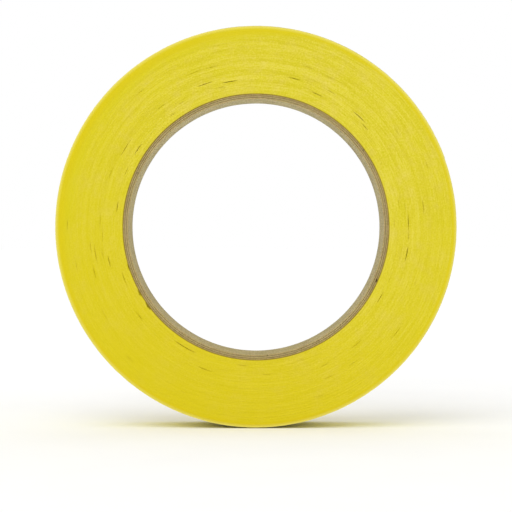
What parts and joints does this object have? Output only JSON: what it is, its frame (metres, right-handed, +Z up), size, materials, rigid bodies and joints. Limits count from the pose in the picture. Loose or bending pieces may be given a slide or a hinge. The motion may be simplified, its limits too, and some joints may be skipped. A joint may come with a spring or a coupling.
{
  "type": "masking tape roll",
  "caption": "Yellow creped paper masking tape roll on a spiral-wound board core, with a hinged free end that peels off the roll and uncurls.",
  "frame": {"origin": "centre of the core's bore, halfway between the roll's two side faces", "axes": "+Y along the roll's axis, away from the viewer; +Z up, so that the roll stands on its rim like a wheel; +X to the right seen from the front"},
  "size_m": [0.1198, 0.018, 0.1199],
  "materials": {
    "core_board": "matte",
    "wound_tape": "matte",
    "crepe_backing": "matte",
    "adhesive": "satin"
  },
  "bodies": {
    "roll": {"core_inner_ply": "core_board", "core_middle_ply": "core_board", "core_outer_ply": "core_board", "wound_laps": "wound_tape", "outer_lap_adhesive": "adhesive", "outer_lap_backing": "crepe_backing"},
    "tail_1": {"tail_1_backing": "crepe_backing", "tail_1_adhesive": "adhesive"},
    "tail_2": {"tail_2_backing": "crepe_backing", "tail_2_adhesive": "adhesive"},
    "tail_3": {"tail_3_backing": "crepe_backing", "tail_3_adhesive": "adhesive"},
    "tail_4": {"tail_4_backing": "crepe_backing", "tail_4_adhesive": "adhesive"},
    "tail_5": {"tail_5_backing": "crepe_backing", "tail_5_adhesive": "adhesive"},
    "tail_6": {"tail_6_backing": "crepe_backing", "tail_6_adhesive": "adhesive"},
    "tail_7": {"tail_7_backing": "crepe_backing", "tail_7_adhesive": "adhesive"},
    "tail_8": {"tail_8_backing": "crepe_backing", "tail_8_adhesive": "adhesive"}
  },
  "joints": [
    {"name": "tail_peel", "type": "hinge", "parent": "roll", "child": "tail_1", "pos_m": [-0.01039, 0, 0.05905], "axis": [0, -1, 0], "range_deg": [0, 150]},
    {"name": "tail_uncurl_1", "type": "hinge", "parent": "tail_1", "child": "tail_2", "pos_m": [0.00002, 0, 0.05996], "axis": [0, -1, 0], "range_deg": [0, 10]},
    {"name": "tail_uncurl_2", "type": "hinge", "parent": "tail_2", "child": "tail_3", "pos_m": [0.01043, 0, 0.05905], "axis": [0, -1, 0], "range_deg": [0, 10]},
    {"name": "tail_uncurl_3", "type": "hinge", "parent": "tail_3", "child": "tail_4", "pos_m": [0.02053, 0, 0.05634], "axis": [0, -1, 0], "range_deg": [0, 10]},
    {"name": "tail_uncurl_4", "type": "hinge", "parent": "tail_4", "child": "tail_5", "pos_m": [0.03, 0, 0.05192], "axis": [0, -1, 0], "range_deg": [0, 10]},
    {"name": "tail_uncurl_5", "type": "hinge", "parent": "tail_5", "child": "tail_6", "pos_m": [0.03857, 0, 0.04593], "axis": [0, -1, 0], "range_deg": [0, 10]},
    {"name": "tail_uncurl_6", "type": "hinge", "parent": "tail_6", "child": "tail_7", "pos_m": [0.04596, 0, 0.03854], "axis": [0, -1, 0], "range_deg": [0, 10]},
    {"name": "tail_uncurl_7", "type": "hinge", "parent": "tail_7", "child": "tail_8", "pos_m": [0.05195, 0, 0.02997], "axis": [0, -1, 0], "range_deg": [0, 10]}
  ],
  "couplings": [
    {"joint": "tail_uncurl_2", "follows": "tail_uncurl_1", "ratio": 1},
    {"joint": "tail_uncurl_3", "follows": "tail_uncurl_1", "ratio": 1},
    {"joint": "tail_uncurl_4", "follows": "tail_uncurl_1", "ratio": 1},
    {"joint": "tail_uncurl_5", "follows": "tail_uncurl_1", "ratio": 1},
    {"joint": "tail_uncurl_6", "follows": "tail_uncurl_1", "ratio": 1},
    {"joint": "tail_uncurl_7", "follows": "tail_uncurl_1", "ratio": 1}
  ]
}
